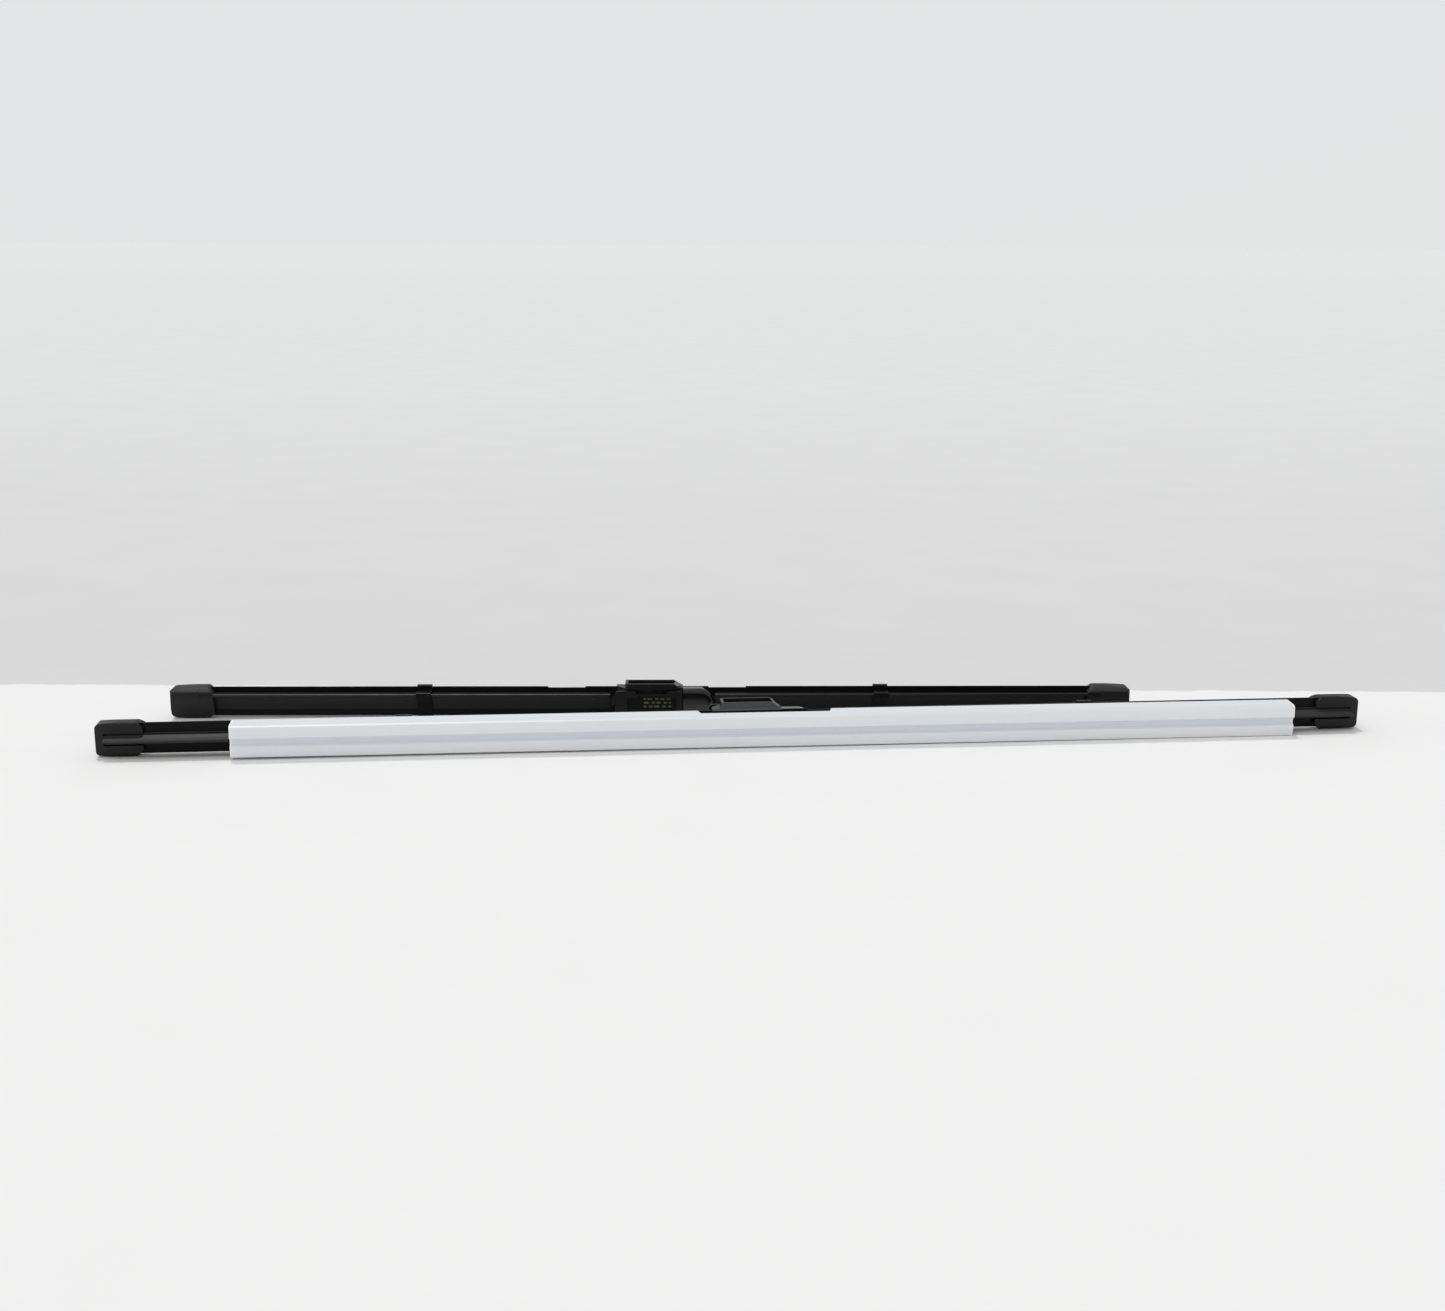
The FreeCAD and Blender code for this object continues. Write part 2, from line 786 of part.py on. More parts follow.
def make_adapter(blade):
    """Rocking block between the cheeks, round under its pivot so that it can tip both ways."""
    body = blade.body("adapter")
    half = size["adapter_half_width"]
    left = -size["adapter_left"]
    right = size["adapter_right"]
    low = size["adapter_low"]
    top = size["adapter_top"]
    pivot = size["pivot_height"]
    hub = size["hub_radius"]
    hub_side = hub * 0.8
    hub_base = pivot - hub * 0.6
    chamfer = size["adapter_chamfer"]
    add(body, "z", blade.up(-half), blade.up(half), blade.profile([
        (left, low),
        (-hub_side, hub_base, hub),
        (hub_side, hub_base),
        (right, low),
        (right, top - chamfer),
        (right - chamfer, top),
        (left, top),
    ]))
    knuckle = size["knuckle_radius"]
    half_knuckle = size["knuckle_half_width"]
    height = size["knuckle_height"]
    hinge_x = size["knuckle_x"]
    root = left + size["slack"]
    crown = top - size["overlap"]
    add(body, "z", blade.up(-half_knuckle), blade.up(half_knuckle), blade.profile([
        *half_disc(-hinge_x, height, knuckle, -1),
        (root, height - knuckle - size["web_depth"]),
        (root, crown),
        (-size["web_end"], crown),
    ]))
    cut(body, "z", 0, size["cap_width"],
        disc(blade.connector, blade.out(pivot), size["bush_radius"]))
    cut(body, "z", blade.up(-half), blade.up(half),
        disc(blade.connector - hinge_x, blade.out(height), size["flap_pin_radius"]))


def make_lock_flap(blade):
    """Flap that closes over the adapter, with a hook at one end and two knuckles at the other."""
    body = blade.body("lock_flap")
    low = size["adapter_top"] + size["flap_gap"]
    high = low + size["flap_thickness"]
    half = size["flap_half_width"]
    x = blade.connector
    left = x - size["flap_left"]
    right = x + size["flap_right"]
    near = size["flap_corner_left"]
    far = size["flap_corner_right"]
    nick_left = x - size["nick_left"]
    nick_right = x + size["nick_right"]
    nick = half - size["nick_depth"]
    slant = size["nick_slant"]
    add(body, "y", *blade.span(low, high), [
        (left, blade.up(-half + near), near),
        (left + near, blade.up(-half)),
        (right - far, blade.up(-half), far),
        (right, blade.up(-half + far)),
        (right, blade.up(half - far), far),
        (right - far, blade.up(half)),
        (nick_right + slant, blade.up(half)),
        (nick_right, blade.up(nick)),
        (nick_left, blade.up(nick)),
        (nick_left - slant, blade.up(half)),
        (left + near, blade.up(half), near),
        (left, blade.up(half - near)),
    ])
    window = size["window_height"] / 2
    shallow = window - size["tab_depth"]
    tab_left = x - size["tab_left"]
    tab_right = x + size["tab_right"]
    cut(body, "y", *blade.span(low, high), [
        (x - size["window_left"], blade.up(-window)),
        (x + size["window_right"], blade.up(-window)),
        (x + size["window_right"], blade.up(shallow)),
        (tab_right + size["tab_slant"], blade.up(shallow)),
        (tab_right, blade.up(window)),
        (tab_left, blade.up(window)),
        (tab_left - size["tab_slant"], blade.up(shallow)),
        (x - size["window_left"], blade.up(shallow)),
    ])
    add_flap_hook(blade, body, high)
    add_flap_knuckles(blade, body, low, high)


def add_flap_hook(blade, body, high):
    """Tongue with a barb at the free end of the flap."""
    half = size["hook_width"] / 2
    outer = size["flap_right"] - size["slack"]
    inner = outer - size["hook_thickness"]
    root = high - size["slack"]
    add(body, "z", blade.up(-half), blade.up(half), blade.profile([
        (inner, size["hook_inner_end"]),
        (outer - size["hook_barb"], size["hook_point"]),
        (outer, size["hook_outer_end"]),
        (outer, root),
        (inner, root),
    ]))


def add_flap_knuckles(blade, body, low, high):
    """Two hinge knuckles outside the adapter's own, and the pin hole through them."""
    knuckle = size["knuckle_radius"]
    height = size["knuckle_height"]
    hinge_x = size["knuckle_x"]
    inner = size["knuckle_half_width"] + size["flap_gap"]
    outer = size["adapter_half_width"]
    root = low + size["slack"]
    web = size["overlap"] - size["adapter_left"]
    for start, end in ((-outer, -inner), (inner, outer)):
        add(body, "z", blade.up(start), blade.up(end), blade.profile([
            *half_disc(-hinge_x, height, knuckle, -1)[:2],
            (-hinge_x, height - knuckle, knuckle),
            (knuckle - hinge_x, height),
            (knuckle - hinge_x, root),
            (web, root),
            (web, high),
        ]))
    hole = size["flap_pin_radius"] + size["fit"]
    cut(body, "z", 0, size["cap_width"],
        disc(blade.connector - hinge_x, blade.out(height), hole))


def make_flap_pin(blade):
    body = blade.body("flap_pin")
    outer = size["adapter_half_width"]
    add(body, "z", blade.up(-outer), blade.up(outer), disc(
        blade.connector - size["knuckle_x"], blade.out(size["knuckle_height"]), size["flap_pin_radius"]))


def make_protector(blade):
    """Thin channel slipped over the lip side, open towards the spoiler, with a folded groove."""
    body = new_body("edge_protector")
    body.Placement.Rotation = FreeCAD.Rotation(FreeCAD.Vector(0, 1, 0), 1)
    body.setExpression("Placement.Rotation.Angle", "Sizes.cover_tilt")
    wall = size["cover_wall"]
    back = -size["cover_back"]
    front = -size["cover_depth"]
    top = size["rail_span"] / 2 + size["slack"]
    groove = size["cover_groove"]
    mouth = size["cover_groove_mouth"]
    bed = size["cover_groove_bed"]
    lean = front + size["cover_lean"]

    def face(inset, turn):
        """One face of the channel's wall, moved inwards, with its bends moved along by a turn."""
        edge = top + wall - inset
        deep = front + size["cover_groove_depth"] + inset
        return [
            (back, edge),
            (front + size["cover_crown"] + turn, edge - size["cover_crown_drop"]),
            (front + size["cover_shoulder"] + inset, edge - size["cover_shoulder_drop"] + turn),
            (front + inset, groove + mouth + turn),
            (deep, groove + bed + turn),
            (deep, groove - bed - turn),
            (front + size["cover_sway"] + inset, groove - mouth - turn),
            (lean + inset, size["cover_heel"] - edge - turn),
            (lean + size["cover_heel_run"] + turn, size["cover_sole"] - edge),
            (back, size["cover_sole"] - edge),
        ]

    outer = face(Size(0), Size(0))
    inner = face(wall, size["cover_turn"])
    add(body, "x", -size["cover_left"], size["cover_right"], blade.section(outer + inner[::-1]))
    beyond = size["beyond"]
    near = back - size["cover_cut_depth"]
    mouth_edge = back + beyond
    left = -size["cover_cut_left"]
    right = size["cover_cut_right"]
    slant = size["cover_cut_slant"]
    cut(body, "z", blade.up(top - beyond), blade.up(top + wall + beyond), [
        (left, blade.out(near)),
        (right, blade.out(near)),
        (right + slant, blade.out(mouth_edge)),
        (left - slant, blade.out(mouth_edge)),
    ])


def make_blade(name, out):
    blade = Blade(name, out)
    first = len(NODES)
    make_rail(blade, "upper_rail", 1)
    make_rail(blade, "lower_rail", -1)
    make_rubber(blade)
    tail = blade.half - size["cap_length"] + size["spoiler_end_entry"]
    make_spoiler(blade, "spoiler_left", -tail, blade.connector - size["spoiler_gap_left"])
    make_spoiler(blade, "spoiler_right", blade.connector + size["spoiler_gap_right"], tail)
    for piece, way in (("left", -1), ("right", 1)):
        make_end_cap(blade, "end_cap_" + piece, way)
        make_clip(blade, "clip_" + piece, way)
    make_base(blade)
    make_nose(blade)
    make_bush(blade)
    make_adapter(blade)
    make_lock_flap(blade)
    make_flap_pin(blade)
    if name == "long":
        make_protector(blade)
    return NODES[first:]


# ---------------------------------------------------------------- the pair

def place(bodies, sets):
    """Bind the placement of every body of one blade to the sheet."""
    for body in bodies:
        for path, alias in sets:
            body.setExpression("Placement." + path, "Sizes." + alias)


place(make_blade("long", 1), [("Base.y", "long_place_y")])
place(make_blade("short", -1), [
    ("Base.x", "short_place_x"),
    ("Base.y", "short_place_y"),
    ("Rotation.Angle", "short_turn"),
])
doc.recompute()

for item in doc.Objects:
    if "Invalid" in item.State or "Error" in item.State:
        raise RuntimeError(item.Label + " did not compute: " + ", ".join(item.State))

os.makedirs("parts", exist_ok=True)
whole = FreeCAD.BoundBox()
for body in NODES:
    shape = body.Shape
    if shape.isNull() or not shape.isValid() or len(shape.Solids) != 1:
        raise RuntimeError(body.Label + " is not one valid solid")
    shape.exportStep("parts/" + body.Label + ".step")
    whole.add(shape.BoundBox)
    box = shape.BoundBox
    corners = [round(v, 2) for v in (box.XMin, box.XMax, box.YMin, box.YMax, box.ZMin, box.ZMax)]
    print(body.Label, round(shape.Volume, 1), corners)
print("middle", round(whole.Center.x, 2), round(whole.Center.y, 2), "size", whole.XLength,
      whole.YLength, whole.ZLength)
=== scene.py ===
import math

import bmesh
import bpy
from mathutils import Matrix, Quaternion, Vector


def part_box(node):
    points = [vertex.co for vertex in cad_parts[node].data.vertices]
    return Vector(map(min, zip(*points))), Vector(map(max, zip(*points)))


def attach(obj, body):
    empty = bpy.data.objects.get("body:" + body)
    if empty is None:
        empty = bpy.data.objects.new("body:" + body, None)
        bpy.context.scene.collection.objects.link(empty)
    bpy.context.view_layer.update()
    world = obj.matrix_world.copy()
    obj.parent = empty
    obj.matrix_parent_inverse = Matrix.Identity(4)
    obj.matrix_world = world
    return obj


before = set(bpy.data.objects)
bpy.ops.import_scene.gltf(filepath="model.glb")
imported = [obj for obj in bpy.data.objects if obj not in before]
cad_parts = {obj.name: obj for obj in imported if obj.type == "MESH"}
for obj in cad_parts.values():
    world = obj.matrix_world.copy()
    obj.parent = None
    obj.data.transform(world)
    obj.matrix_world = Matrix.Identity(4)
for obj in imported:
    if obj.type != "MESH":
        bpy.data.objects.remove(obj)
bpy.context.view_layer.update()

# A pair of flat windshield wiper blades with an edge protector, in metres. X runs along the blades,
# Y goes away from the viewer and Z is up.

MM = 0.001
UP = Vector((0, 0, 1))
BLADE_NAMES = ("long", "short")
PROTECTOR = "edge_protector"

# edges of the CAD pieces
WELD_DISTANCE = 0.002 * MM
EDGE_SEGMENTS = 3
SHARP_EDGE = math.radians(38)
SHADING_WEIGHT = 80

# colours that lie over the base colours of the materials: settled dust, and two painted
# highlights, one on the sloped faces of the connector bases and one towards the left of the spoilers
DUST = (0.22, 0.21, 0.2)
PAINTED_SLOPE_SHEEN = (0.07, 0.078, 0.09)
PAINTED_LEFT_SHEEN = (0.05, 0.05, 0.053)

# the protector's cut ends, painted pale as a highlight, and the painted shade along its fold:
# distances within which they have their full tone, and at which they have faded out, and the fold's
# place as a share of the height
RIM_FULL = 0.3 * MM
RIM_FADED = 1.1 * MM
FOLD_FULL = 1.0 * MM
FOLD_FADED = 2.6 * MM
FOLD_HEIGHT = 0.46

# print on the adapters, as rows of bars: (height over the bush's middle,
# ((distance from it along the blade, length), ...)), in millimetres
MARK_ROWS = (
    (3.0, ((-4.0, 1.5), (-1.5, 2.4), (1.9, 1.8), (4.5, 2.5), (7.6, 2.2))),
    (1.1, ((-3.3, 2.6), (0.2, 1.6), (2.8, 2.3), (6.1, 1.7), (8.3, 1.4))),
    (-0.8, ((-3.9, 1.7), (-1.1, 2.0), (1.8, 2.6), (5.4, 2.0), (8.1, 1.8))),
)
MARK_HEIGHT = 0.9 * MM
MARK_THICKNESS = 0.06 * MM
MARK_END_STEPS = 8

# camera
SENSOR_WIDTH = 36
LENS = 44.69
PITCH = math.radians(13.18)
YAW = math.radians(5.9)
ROLL = math.radians(0.31)
LOOK = Vector((math.sin(YAW) * math.cos(PITCH), math.cos(YAW) * math.cos(PITCH), -math.sin(PITCH)))
CAMERA_AT = Vector((-96.5, -846.0, 234)) * MM

# floor, and the backdrop that it turns into; the steps are metres past the backdrop's near edge,
# where the wall's foot ends, where its middle is and where its far tone is reached; the backdrop is
# painted darker at its foot and lighter farther off, as painted shade
FLOOR_HALF = 40.0
BACKDROP_AT = 69 * MM
BACKDROP_WAVE = 1.5 * MM
BACKDROP_BLEND = 2 * MM
FLOOR_TONE = (0.85, 0.85, 0.848)
WALL_FOOT = (0.67, 0.675, 0.672)
WALL_MIDDLE = (0.735, 0.745, 0.74)
WALL_FAR = (0.76, 0.77, 0.765)
WALL_STEPS = (0.1, 1.7, 12)

# light: tones of the room, how much a direction's Y and Z count towards the back and where front
# and back begin, and the strength, direction and width in degrees of two lamps
BACKDROP_TONE = 0.79
LEFT_TONE = 0.83
RIGHT_TONE = 0.48
FRONT_SHARE = 0.9
LEAN_Y = 0.6
LEAN_Z = 0.8
FRONT_TO_BACK = (-0.55, 0.6)
FRONT_TINT = (1.0, 0.975, 0.9)
BACK_TINT = (0.985, 0.99, 1.0)
FRONT_WINDOW = (0.4, (0.25, 0.35, -0.9), 24)
BACK_LAMP = (0.95, (0.1, -0.36, -0.93), 4)


# ---------------------------------------------------------------- places

def centre(node):
    low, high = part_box(node)
    return (Vector(low) + Vector(high)) / 2


def reach(node, direction):
    """Lowest and highest distance of a node along a direction."""
    distances = [vertex.co.dot(direction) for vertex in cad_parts[node].data.vertices]
    return min(distances), max(distances)


class Blade:
    """One blade's own directions: along it, up, and out towards its spoiler and connector."""

    def __init__(self, name):
        self.name = name
        left = centre(name + "_clip_left")
        right = centre(name + "_clip_right")
        self.along = ((right - left) * Vector((1, 1, 0))).normalized()
        self.out = UP.cross(self.along)
        if (centre(name + "_adapter") - centre(name + "_wiping_rubber")).dot(self.out) < 0:
            self.out.negate()

    def node(self, part):
        return self.name + "_" + part

    def point(self, along, out, up):
        """A point from its distances along this blade's three directions."""
        return self.along * along + self.out * out + UP * up


BLADES = [Blade(name) for name in BLADE_NAMES]


# ---------------------------------------------------------------- node graphs

class Graph:
    """A node tree, with short calls for the nodes that the materials share."""

    def __init__(self, tree):
        tree.nodes.clear()
        self.tree = tree

    def node(self, kind, inputs=None, **settings):
        made = self.tree.nodes.new("ShaderNode" + kind)
        for key, value in settings.items():
            setattr(made, key, value)
        for key, value in (inputs or {}).items():
            self.feed(made.inputs[key], value)
        return made

    def feed(self, socket, value):
        if isinstance(value, bpy.types.NodeSocket):
            self.tree.links.new(value, socket)
        elif socket.type == "RGBA" and not hasattr(value, "__len__"):
            socket.default_value = (value, value, value, 1)
        elif socket.type == "RGBA":
            socket.default_value = (*value[:3], 1)
        else:
            socket.default_value = value

    def place(self, stretch=(1, 1, 1)):
        spot = self.node("TexCoord").outputs["Object"]
        return self.node("Mapping", {"Vector": spot, "Scale": stretch}).outputs["Vector"]

    def axis(self, letter):
        return self.node("SeparateXYZ", {"Vector": self.place()}).outputs[letter]

    def facing(self, letter):
        """How far the surface faces along an axis, from -1 to 1."""
        normal = self.node("NewGeometry").outputs["Normal"]
        return self.node("SeparateXYZ", {"Vector": normal}).outputs[letter]

    def noise(self, scale, detail=2.0, stretch=(1, 1, 1)):
        return self.node("TexNoise", {
            "Vector": self.place(stretch), "Scale": scale, "Detail": detail}).outputs["Fac"]

    def remap(self, value, from_low, from_high, to_low, to_high):
        return self.node("MapRange", {
            "Value": value, "From Min": from_low, "From Max": from_high,
            "To Min": to_low, "To Max": to_high}).outputs["Result"]

    def vary(self, noise, low, high):
        """Spreads the middle part of a noise over a range of values."""
        return self.remap(noise, 0.3, 0.7, low, high)

    def calc(self, operation, first, second=0.0):
        made = self.node("Math", operation=operation)
        self.feed(made.inputs[0], first)
        self.feed(made.inputs[1], second)
        return made.outputs["Value"]

    def mix(self, factor, first, second):
        return self.node("MixRGB", {
            "Fac": factor, "Color1": first, "Color2": second}).outputs["Color"]

    def bump(self, height, distance, strength=1.0, below=None):
        made = self.node("Bump", {"Height": height, "Distance": distance, "Strength": strength})
        if below is not None:
            self.feed(made.inputs["Normal"], below)
        return made.outputs["Normal"]

    def surface(self, **inputs):
        named = {key.replace("_", " ").title().replace("Ior", "IOR"): value
                 for key, value in inputs.items()}
        return self.node("BsdfPrincipled", named)

    def finish(self, shader):
        self.node("OutputMaterial", {"Surface": shader.outputs[0]})


def material(name):
    made = bpy.data.materials.new(name)
    made.use_nodes = True
    return made, Graph(made.node_tree)


# ---------------------------------------------------------------- materials

def moulded_plastic(name, tone, roughness, grain, ior, blue=1.12, dust=0.5, wear_and_sheen=0.0):
    """Dark moulded plastic: fine grain, a little settled dust, and a painted highlight on sloped
    faces.
    """
    made, graph = material(name)
    cloud = graph.noise(90, 3)
    fine = graph.noise(1500, 4)
    coarse = graph.noise(520, 2)
    shade = graph.mix(graph.vary(cloud, 0, 1),
                      (tone * 0.8, tone * 0.82, tone * 0.84 * blue),
                      (tone * 1.2, tone * 1.21, tone * 1.22 * blue))
    speck = graph.remap(graph.noise(2600, 1), 0.66, 0.74, 0, 1)
    settled = graph.remap(graph.facing("Z"), 0.2, 1, 0.1, 1)
    dusty = graph.calc("MULTIPLY", graph.calc("MULTIPLY", speck, settled), dust)
    coloured = graph.mix(dusty, shade, DUST)
    # painted highlight: sloped faces, between upright and flat, are painted paler
    slope = graph.calc("MULTIPLY", graph.remap(graph.facing("Z"), 0.3, 0.4, 0, 1),
                       graph.remap(graph.facing("Z"), 0.8, 0.92, 1, 0))
    coloured = graph.mix(graph.calc("MULTIPLY", slope, wear_and_sheen), coloured, PAINTED_SLOPE_SHEEN)
    rough = graph.calc("ADD", graph.vary(cloud, roughness - 0.05, roughness + 0.06),
                       graph.calc("MULTIPLY", speck, 0.2))
    relief = graph.bump(fine, 0.05 * MM, grain)
    relief = graph.bump(coarse, 0.08 * MM, grain * 0.5, relief)
    graph.finish(graph.surface(base_color=coloured, roughness=rough, ior=ior, normal=relief))
    return made


def extruded_rubber(name, tone, roughness, lines, sheen, ior, left_sheen=0.0):
    """Black rubber pulled through a die: faint lines, a soft bloom and a painted highlight on the
    left.
    """
    made, graph = material(name)
    drawn = graph.noise(1400, 3, (0.015, 1, 1))
    cloud = graph.noise(40, 3, (0.3, 1, 1))
    shade = graph.mix(graph.vary(cloud, 0, 1),
                      (tone * 0.8, tone * 0.81, tone * 0.86),
                      (tone * 1.25, tone * 1.26, tone * 1.3))
    bloom = graph.remap(graph.noise(700, 4, (0.12, 1, 1)), 0.55, 0.8, 0, 0.35)
    coloured = graph.mix(bloom, shade, (tone * 2.4, tone * 2.4, tone * 2.5))
    # painted highlight: paler towards the left, where more light falls
    sheen_on_left = graph.remap(graph.axis("X"), -0.2, 0.12, left_sheen, 0)
    coloured = graph.mix(sheen_on_left, coloured, PAINTED_LEFT_SHEEN)
    rough = graph.vary(drawn, roughness - 0.07, roughness + 0.07)
    relief = graph.bump(drawn, 0.04 * MM, lines)
    relief = graph.bump(graph.noise(1800, 2), 0.02 * MM, 0.3, relief)
    graph.finish(graph.surface(base_color=coloured, roughness=rough, ior=ior,
                               sheen_weight=sheen, sheen_roughness=0.5, normal=relief))
    return made


def painted_steel():
    """Black electro-coated spring steel with the coat's slight orange peel."""
    made, graph = material("painted_steel")
    peel = graph.noise(900, 2)
    cloud = graph.noise(60, 2, (0.2, 1, 1))
    shade = graph.mix(cloud, (0.003, 0.003, 0.0035), (0.006, 0.006, 0.007))
    rough = graph.vary(peel, 0.32, 0.44)
    relief = graph.bump(peel, 0.03 * MM, 0.5)
    graph.finish(graph.surface(base_color=shade, roughness=rough, ior=1.22, normal=relief))
    return made


def gloss_plastic():
    """Polished black plastic under a clear skin, with hairline rub marks."""
    made, graph = material("gloss_plastic")
    rub = graph.noise(900, 3, (0.05, 1, 1))
    shade = graph.mix(graph.noise(70), (0.004, 0.004, 0.005), (0.008, 0.008, 0.009))
    rough = graph.remap(rub, 0.4, 0.75, 0.1, 0.2)
    relief = graph.bump(graph.noise(260, 1), 0.02 * MM, 0.4)
    graph.finish(graph.surface(base_color=shade, roughness=rough, ior=1.45, coat_weight=0.3,
                               coat_roughness=0.08, normal=relief))
    return made


def turned_steel():
    """Bright steel with fine turning rings round the upright pivot."""
    made, graph = material("turned_steel")
    rings = graph.noise(2600, 2, (0.02, 0.02, 1))
    shade = graph.mix(rings, (0.42, 0.42, 0.43), (0.62, 0.62, 0.63))
    rough = graph.vary(rings, 0.22, 0.4)
    relief = graph.bump(rings, 0.02 * MM, 0.6)
    graph.finish(graph.surface(base_color=shade, metallic=1.0, roughness=rough, normal=relief))
    return made


def milky_plastic():
    """Thin, cloudy, slightly blue plastic; its cut ends are painted pale as a highlight, and its
    fold and up-facing faces darker as painted shade.
    """
    made, graph = material("milky_plastic")
    low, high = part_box(PROTECTOR)
    # painted highlight: the colour turns pale near the cut ends
    along = graph.axis("X")
    from_left = graph.calc("SUBTRACT", along, low[0])
    from_right = graph.calc("SUBTRACT", high[0], along)
    from_end = graph.calc("MINIMUM", from_left, from_right)
    rim = graph.remap(from_end, RIM_FULL, RIM_FADED, 1, 0)
    drawn = graph.noise(500, 3, (0.01, 1, 1))
    cloud = graph.noise(30, 2, (0.4, 1, 1))
    body = graph.mix(graph.vary(cloud, 0, 1), (0.89, 0.93, 0.985), (0.92, 0.955, 0.995))
    body = graph.mix(graph.remap(drawn, 0.35, 0.65, 0, 0.4), body, (0.94, 0.96, 0.99))
    # painted shade: a darker blue-grey band along the fold
    fold = low[2] + (high[2] - low[2]) * FOLD_HEIGHT
    from_fold = graph.calc("ABSOLUTE", graph.calc("SUBTRACT", graph.axis("Z"), fold))
    folded = graph.remap(from_fold, FOLD_FULL, FOLD_FADED, 0.45, 0)
    body = graph.mix(folded, body, (0.68, 0.75, 0.87))
    # painted shade: faces that look up are painted darker
    level = graph.remap(graph.facing("Z"), 0.3, 0.9, 0, 0.8)
    body = graph.mix(level, body, (0.74, 0.78, 0.83))
    coloured = graph.mix(rim, body, (0.98, 0.98, 0.99))
    scuff = graph.remap(graph.noise(800, 4, (0.2, 1, 1)), 0.6, 0.8, 0, 0.15)
    rough = graph.calc("ADD", graph.vary(drawn, 0.28, 0.4), scuff)
    relief = graph.bump(drawn, 0.04 * MM, 0.5)
    skin = graph.surface(base_color=coloured, roughness=rough, ior=1.49, normal=relief)
    glow = graph.node("BsdfTranslucent", {"Color": coloured, "Normal": relief})
    clear = graph.node("BsdfTransparent", {"Color": (0.93, 0.95, 0.98)})
    lit = graph.node("MixShader", {0: 0.05, 1: skin.outputs[0], 2: glow.outputs[0]})
    thinness = graph.remap(rim, 0, 1, 0.03, 0)
    graph.finish(graph.node("MixShader", {0: thinness, 1: lit.outputs[0], 2: clear.outputs[0]}))
    return made


def printed_ink():
    """Yellow-green pad print, thin and worn in places."""
    made, graph = material("printed_ink")
    wear_and_sheen = graph.remap(graph.noise(2200, 3), 0.5, 0.72, 0, 0.75)
    shade = graph.mix(wear_and_sheen, (0.085, 0.1, 0.014), (0.016, 0.018, 0.007))
    relief = graph.bump(graph.noise(3000, 2), 0.02 * MM, 0.4)
    graph.finish(graph.surface(base_color=shade, roughness=0.55, ior=1.45, normal=relief))
    return made


STEEL = painted_steel()
SPOILER = extruded_rubber("spoiler_rubber", 0.002, 0.35, 0.5, 0.0, 1.32, left_sheen=0.26)
WIPING = extruded_rubber("wiping_rubber", 0.018, 0.5, 0.7, 0.05, 1.35)
CAP = moulded_plastic("cap_plastic", 0.004, 0.5, 0.55, 1.4)
# the connector bases carry the painted highlight on their slopes
BASE = moulded_plastic("base_plastic", 0.008, 0.34, 0.35, 1.35, wear_and_sheen=0.9)
ADAPTER = moulded_plastic("adapter_plastic", 0.004, 0.5, 0.4, 1.25)
FLAP = moulded_plastic("flap_plastic", 0.006, 0.42, 0.3, 1.33, blue=1.02)
GLOSS = gloss_plastic()
BUSH = turned_steel()
MILKY = milky_plastic()
INK = printed_ink()

# part of a blade: (material, width of its edge rounding in millimetres)
BLADE_FINISHES = {
    "upper_rail": (STEEL, 0.15),
    "lower_rail": (STEEL, 0.15),
    "wiping_rubber": (WIPING, 0.12),
    "spoiler_left": (SPOILER, 0.28),
    "spoiler_right": (SPOILER, 0.28),
    "end_cap_left": (CAP, 0.5),
    "end_cap_right": (CAP, 0.5),
    "clip_left": (STEEL, 0.25),
    "clip_right": (STEEL, 0.25),
    "connector_base": (BASE, 0.35),
    "nose_fairing": (GLOSS, 0.2),
    "adapter": (ADAPTER, 0.3),
    "lock_flap": (FLAP, 0.3),
    "flap_pin": (BUSH, 0.15),
    "pivot_bush": (BUSH, 0.2),
}


# ---------------------------------------------------------------- pieces

def soften(obj, width):
    """Welds the imported mesh, rounds its sharp edges and evens the shading of its faces."""
    weld = obj.modifiers.new("weld", "WELD")
    weld.merge_threshold = WELD_DISTANCE
    bevel = obj.modifiers.new("edge_rounding", "BEVEL")
    bevel.width = width * MM
    bevel.segments = EDGE_SEGMENTS
    bevel.limit_method = "ANGLE"
    bevel.angle_limit = SHARP_EDGE
    bevel.use_clamp_overlap = True
    normals = obj.modifiers.new("even_shading", "WEIGHTED_NORMAL")
    normals.weight = SHADING_WEIGHT


def dress(node, finish, width):
    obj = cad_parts[node]
    for slot in obj.material_slots:
        slot.material = finish
    soften(obj, width)


def rounded_bar(name, blade, at, length):
    """Thin printed bar with round ends, lying against a face that looks out from the blade."""
    outline = []
    radius = MARK_HEIGHT / 2
    half = length / 2 - radius
    for side, start in ((1, -90), (-1, 90)):
        for step in range(MARK_END_STEPS + 1):
            angle = math.radians(start + 180 * step / MARK_END_STEPS)
            outline.append((side * half + radius * math.cos(angle), radius * math.sin(angle)))
    mesh = bpy.data.meshes.new(name)
    maker = bmesh.new()
    rings = []
    for lift, shrink in ((0, 1), (MARK_THICKNESS * 0.7, 1), (MARK_THICKNESS, 0.9)):
        rings.append([maker.verts.new(at + blade.point(across * shrink, lift, up * shrink))
                      for across, up in outline])
    count = len(outline)
    for lower, upper in zip(rings, rings[1:]):
        for here in range(count):
            after = (here + 1) % count
            maker.faces.new((lower[here], lower[after], upper[after], upper[here]))
    maker.faces.new(rings[-1])
    maker.faces.new(list(reversed(rings[0])))
    bmesh.ops.remove_doubles(maker, verts=maker.verts, dist=1e-7)
    bmesh.ops.recalc_face_normals(maker, faces=maker.faces)
    maker.to_mesh(mesh)
    maker.free()
    obj = bpy.data.objects.new(name, mesh)
    bpy.context.scene.collection.objects.link(obj)
    mesh.materials.append(INK)
    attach(obj, blade.name + "_rocker")


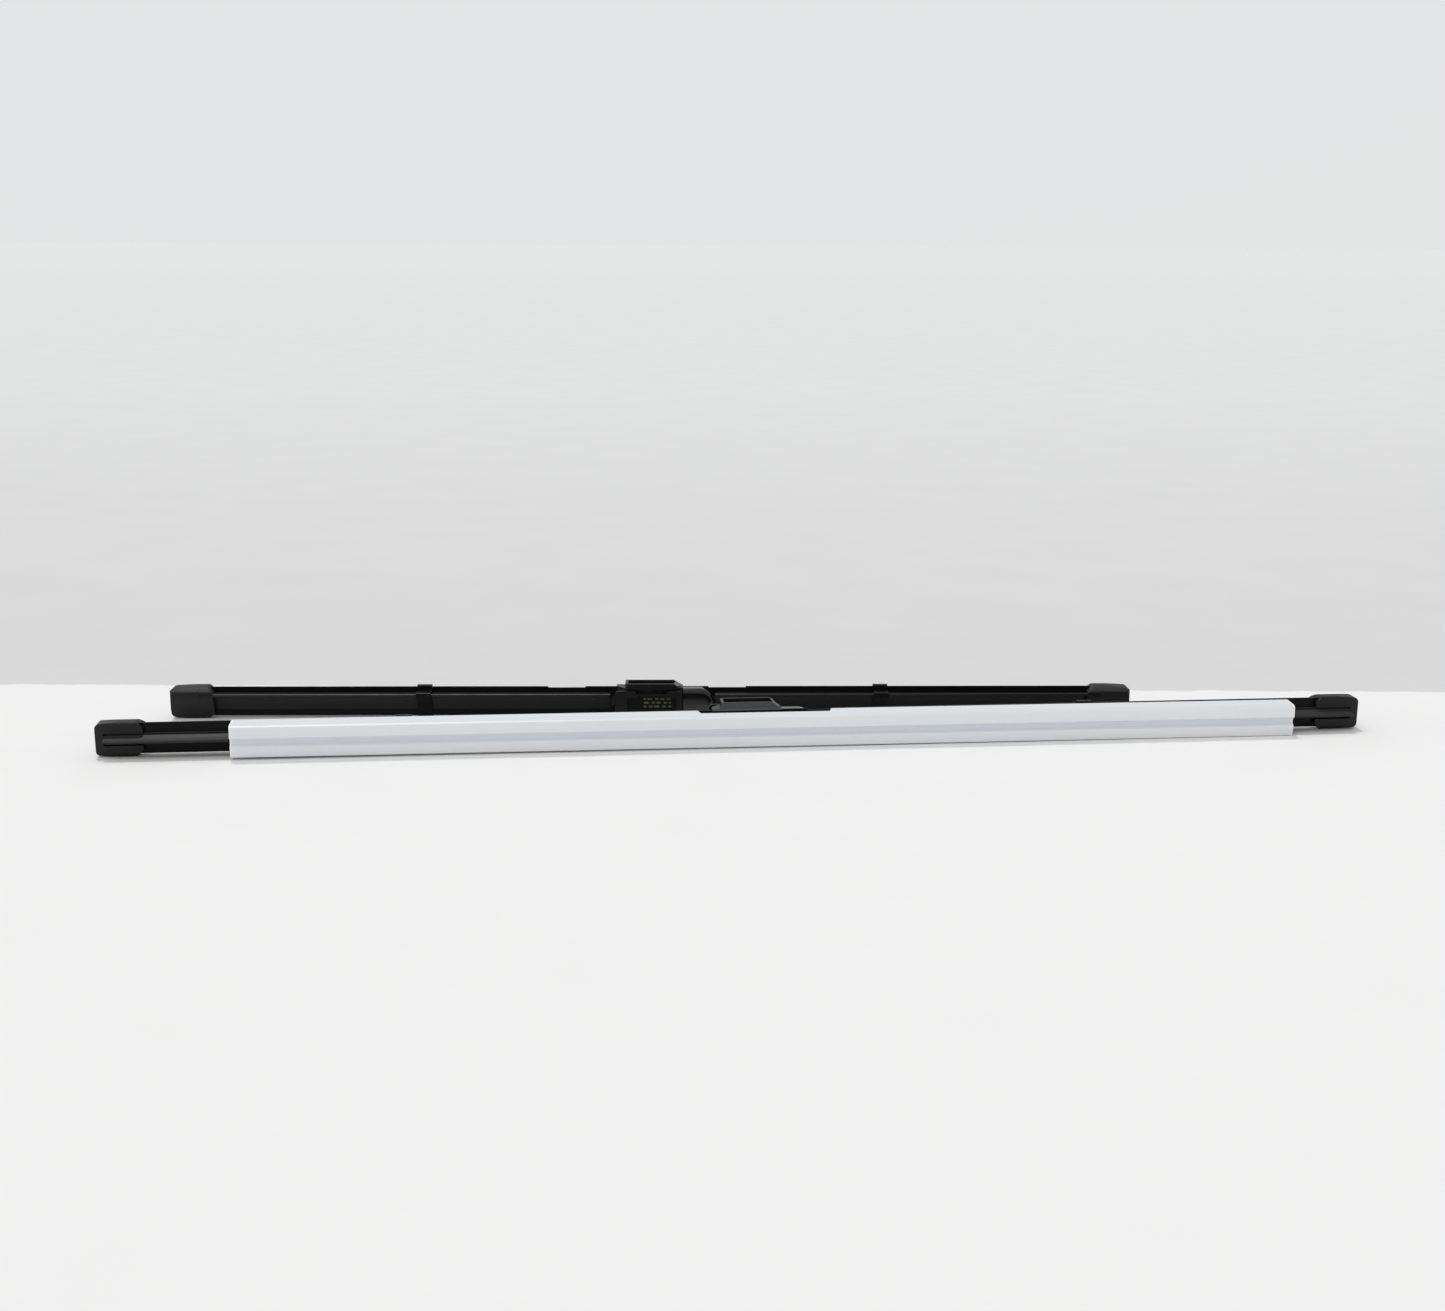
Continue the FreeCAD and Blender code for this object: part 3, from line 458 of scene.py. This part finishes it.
def print_marks(blade):
    """Generic bars printed on the adapter's face, inside the flap's window."""
    face = reach(blade.node("adapter"), blade.out)[1]
    pivot_bush = blade.node("pivot_bush")
    middle = sum(reach(pivot_bush, blade.along)) / 2
    height = sum(reach(pivot_bush, UP)) / 2
    bars = [(along, up, length) for up, row in MARK_ROWS for along, length in row]
    for index, (along, up, length) in enumerate(bars, start=1):
        at = blade.point(middle + along * MM, face, height + up * MM)
        rounded_bar(f"{blade.name}_mark_{index}", blade, at, length * MM)


for blade in BLADES:
    for part, (finish, width) in BLADE_FINISHES.items():
        dress(blade.node(part), finish, width)
    print_marks(blade)
dress(PROTECTOR, MILKY, 0.12)


# ---------------------------------------------------------------- studio

def make_floor():
    """Wide pale floor that turns a little darker where the backdrop begins."""
    mesh = bpy.data.meshes.new("floor")
    corners = [(x * FLOOR_HALF, y * FLOOR_HALF, 0) for x, y in ((-1, -1), (1, -1), (1, 1), (-1, 1))]
    mesh.from_pydata(corners, [], [(0, 1, 2, 3)])
    floor = bpy.data.objects.new("floor", mesh)
    bpy.context.scene.collection.objects.link(floor)
    made, graph = material("pale_paper")
    away = graph.node("VectorMath", {0: graph.place(), 1: (LOOK.x, LOOK.y, 0)},
                      operation="DOT_PRODUCT").outputs["Value"]
    wavy = graph.vary(graph.noise(60, 3), -BACKDROP_WAVE, BACKDROP_WAVE)
    past = graph.calc("SUBTRACT", graph.calc("ADD", away, wavy), BACKDROP_AT)
    backdrop = graph.remap(past, 0, BACKDROP_BLEND, 0, 1)
    # painted shade: the backdrop is darker at its foot and lightens farther off
    foot, middle, end = WALL_STEPS
    rise = graph.remap(past, foot, middle, 0, 1)
    far = graph.remap(past, middle, end, 0, 1)
    wall = graph.mix(rise, WALL_FOOT, WALL_MIDDLE)
    wall = graph.mix(far, wall, WALL_FAR)
    shade = graph.mix(backdrop, FLOOR_TONE, wall)
    mottle = graph.vary(graph.noise(14, 2), 0.99, 1.01)
    mottled = graph.node("VectorMath", {0: shade, "Scale": mottle}, operation="SCALE")
    graph.finish(graph.surface(base_color=mottled.outputs["Vector"], roughness=0.95, ior=1.02))
    mesh.materials.append(made)


def make_world():
    """Soft room: an even backdrop, a bright left side, a dim right side and a warmer front."""
    world = bpy.data.worlds.new("studio")
    world.use_nodes = True
    graph = Graph(world.node_tree)
    spot = graph.node("TexCoord").outputs["Generated"]
    parts = graph.node("SeparateXYZ", {"Vector": spot}).outputs
    leaning = graph.calc("ADD", graph.calc("MULTIPLY", parts["Y"], LEAN_Y),
                         graph.calc("MULTIPLY", parts["Z"], LEAN_Z))
    side = graph.remap(parts["X"], -0.6, 0.6, LEFT_TONE, RIGHT_TONE)
    room = graph.calc("MULTIPLY", side, graph.remap(leaning, *FRONT_TO_BACK, FRONT_SHARE, 1))
    low = graph.remap(parts["Z"], 0.12, 0.3, 1, 0)
    behind = graph.calc("MULTIPLY", low, graph.remap(parts["Y"], 0.2, 0.5, 0, 1))
    grey = graph.node("CombineXYZ", {"X": room, "Y": room, "Z": room}).outputs["Vector"]
    level = graph.mix(behind, grey, (BACKDROP_TONE,) * 3)
    tint = graph.mix(graph.remap(leaning, *FRONT_TO_BACK, 0, 1), FRONT_TINT, BACK_TINT)
    toned = graph.node("VectorMath", {0: level, 1: tint}, operation="MULTIPLY").outputs["Vector"]
    background = graph.node("Background", {"Color": toned, "Strength": 1.0})
    graph.node("OutputWorld", {"Surface": background.outputs[0]})
    bpy.context.scene.world = world


def make_sun(name, strength, way, spread):
    """Distant lamp that shines along a direction; its width in degrees softens the shadows."""
    lamp = bpy.data.lights.new(name, "SUN")
    lamp.energy = strength
    lamp.angle = math.radians(spread)
    obj = bpy.data.objects.new(name, lamp)
    obj.rotation_mode = "QUATERNION"
    obj.rotation_quaternion = Vector(way).to_track_quat("-Z", "Y")
    bpy.context.scene.collection.objects.link(obj)


def make_camera():
    camera = bpy.data.cameras.new("camera")
    camera.sensor_width = SENSOR_WIDTH
    camera.lens = LENS
    obj = bpy.data.objects.new("camera", camera)
    obj.location = CAMERA_AT
    obj.rotation_mode = "QUATERNION"
    obj.rotation_quaternion = LOOK.to_track_quat("-Z", "Y") @ Quaternion(UP, ROLL)
    bpy.context.scene.collection.objects.link(obj)
    bpy.context.scene.camera = obj


make_floor()
make_world()
make_sun("front_window", *FRONT_WINDOW)
make_sun("back_lamp", *BACK_LAMP)
make_camera()
bpy.context.scene.view_settings.view_transform = "Standard"
